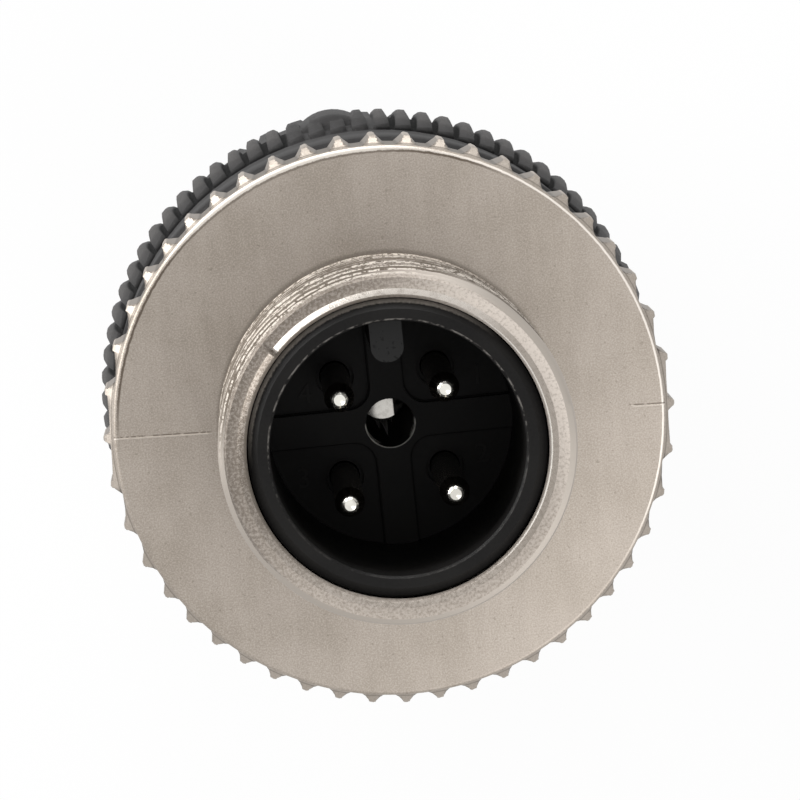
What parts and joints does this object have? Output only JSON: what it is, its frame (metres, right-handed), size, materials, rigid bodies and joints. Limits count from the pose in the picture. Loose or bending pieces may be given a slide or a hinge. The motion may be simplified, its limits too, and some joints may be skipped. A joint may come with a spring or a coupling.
{
  "type": "round cable plug with screw lock",
  "caption": "Straight round male cable plug with a knurled coupling nut, keyed pin insert, screw terminals and a cable gland.",
  "frame": {"origin": "centre of the flat rear face of the gland nut, which the plug stands on", "axes": "+Z along the plug's axis towards the mating face, +Y towards the coding key"},
  "size_m": [0.0208, 0.0208, 0.056],
  "materials": {
    "nickel_plated_zinc": "satin nickel plating on a die casting",
    "black_polyamide": "moulded, slightly glossy",
    "black_insert": "moulded, satin",
    "plated_contact": "polished plating on brass",
    "zinc_screw": "bright zinc plating",
    "spring_steel": "plain",
    "grey_polyamide": "moulded",
    "black_rubber": "matt"
  },
  "bodies": {
    "insert": {"contact_carrier": "black_insert", "pin_1": "plated_contact", "pin_2": "plated_contact", "pin_3": "plated_contact", "pin_4": "plated_contact", "centre_plug": "plated_contact", "lock_ring": "spring_steel"},
    "nut": {"coupling_nut": "nickel_plated_zinc"},
    "seal_ring": {"sealing_ring": "black_rubber"},
    "housing": {"rear_housing": "black_polyamide", "clamp_cage": "grey_polyamide", "cable_seal": "black_rubber"},
    "thrust": {"thrust_ring": "grey_polyamide"},
    "gland": {"gland_nut": "black_polyamide"},
    "screw_1": {"terminal_screw_1": "zinc_screw"},
    "screw_2": {"terminal_screw_2": "zinc_screw"},
    "screw_3": {"terminal_screw_3": "zinc_screw"},
    "screw_4": {"terminal_screw_4": "zinc_screw"}
  },
  "joints": [
    {"name": "nut_spin", "type": "hinge", "parent": "insert", "child": "nut", "pos_m": [0, 0, 0.046], "axis": [0, 0, 1], "continuous": true},
    {"name": "housing_travel", "type": "slide", "parent": "insert", "child": "seal_ring", "axis": [0, 0, -1], "range_m": [0, 0.0045]},
    {"name": "housing_turn", "type": "hinge", "parent": "seal_ring", "child": "housing", "pos_m": [0, 0, 0.03], "axis": [0, 0, -1], "range_deg": [0, 1620]},
    {"name": "gland_travel", "type": "slide", "parent": "housing", "child": "thrust", "axis": [0, 0, -1], "range_m": [0, 0.005]},
    {"name": "gland_turn", "type": "hinge", "parent": "thrust", "child": "gland", "pos_m": [0, 0, 0.007], "axis": [0, 0, -1], "range_deg": [0, 1800]},
    {"name": "screw_turn_1", "type": "hinge", "parent": "insert", "child": "screw_1", "pos_m": [0.00346, 0.00346, 0.034], "axis": [0.7071, 0.7071, 0], "range_deg": [0, 1080]},
    {"name": "screw_turn_2", "type": "hinge", "parent": "insert", "child": "screw_2", "pos_m": [0.00346, -0.00346, 0.034], "axis": [0.7071, -0.7071, 0], "range_deg": [0, 1080]},
    {"name": "screw_turn_3", "type": "hinge", "parent": "insert", "child": "screw_3", "pos_m": [-0.00346, -0.00346, 0.034], "axis": [-0.7071, -0.7071, 0], "range_deg": [0, 1080]},
    {"name": "screw_turn_4", "type": "hinge", "parent": "insert", "child": "screw_4", "pos_m": [-0.00346, 0.00346, 0.034], "axis": [-0.7071, 0.7071, 0], "range_deg": [0, 1080]}
  ],
  "couplings": [
    {"joint": "housing_travel", "follows": "housing_turn", "m_per_rad": 0.00015915},
    {"joint": "gland_travel", "follows": "gland_turn", "m_per_rad": 0.00015915}
  ]
}
